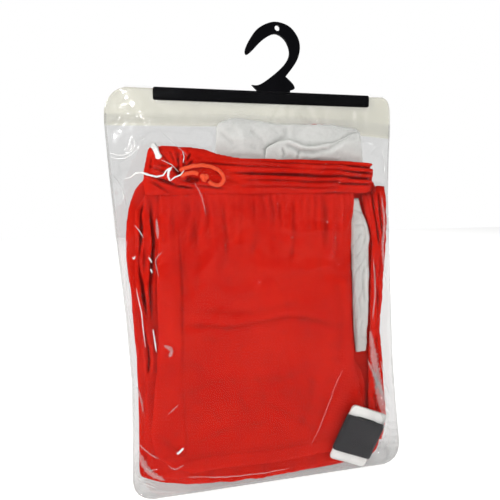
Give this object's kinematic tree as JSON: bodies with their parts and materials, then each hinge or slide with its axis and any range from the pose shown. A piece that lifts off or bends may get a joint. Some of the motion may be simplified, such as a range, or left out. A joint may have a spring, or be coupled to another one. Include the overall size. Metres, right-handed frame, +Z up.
{
  "type": "folded santa suit in a clear hanging bag",
  "caption": "Red felt trousers, jacket and hat with white trim, folded flat with a rolled belt in a clear film bag on a flat black hook.",
  "frame": {"origin": "highest point of the hook's inner curve, at the middle of its thickness, where it rests on a rail", "axes": "+Z up; the front of the pack faces -Y; +X is to the right seen from the front"},
  "size_m": [0.3319, 0.0598, 0.5017],
  "materials": {
    "red_felt": "brushed felt",
    "white_fleece": "soft fleece",
    "red_cord": "braided",
    "black_strap": "matte",
    "white_buckle": "satin",
    "black_plastic": "satin",
    "clear_film": "clear"
  },
  "bodies": {
    "root": {"jacket_back_panel": "red_felt", "jacket_front_panel": "red_felt", "jacket_sleeve_fold": "red_felt", "jacket_rear_sleeve": "red_felt", "jacket_front_trim": "white_fleece", "jacket_hem_trim": "white_fleece", "jacket_cuff": "white_fleece", "trouser_inner_folds": "red_felt", "trouser_front_leg": "red_felt", "waist_casing_front": "red_felt", "waist_casing_rear": "red_felt", "drawstring_loop": "red_cord", "drawstring_end": "red_cord", "drawstring_knot": "red_cord", "hat_brim": "white_fleece", "hat_brim_roll": "white_fleece", "hat_cone": "red_felt", "belt_strap_front": "black_strap", "belt_strap_rear": "black_strap", "belt_buckle": "white_buckle", "hanger_bar": "black_plastic", "hanger_hook": "black_plastic", "bag_front_film": "clear_film", "bag_back_film": "clear_film", "bag_flap": "clear_film"}
  },
  "joints": []
}
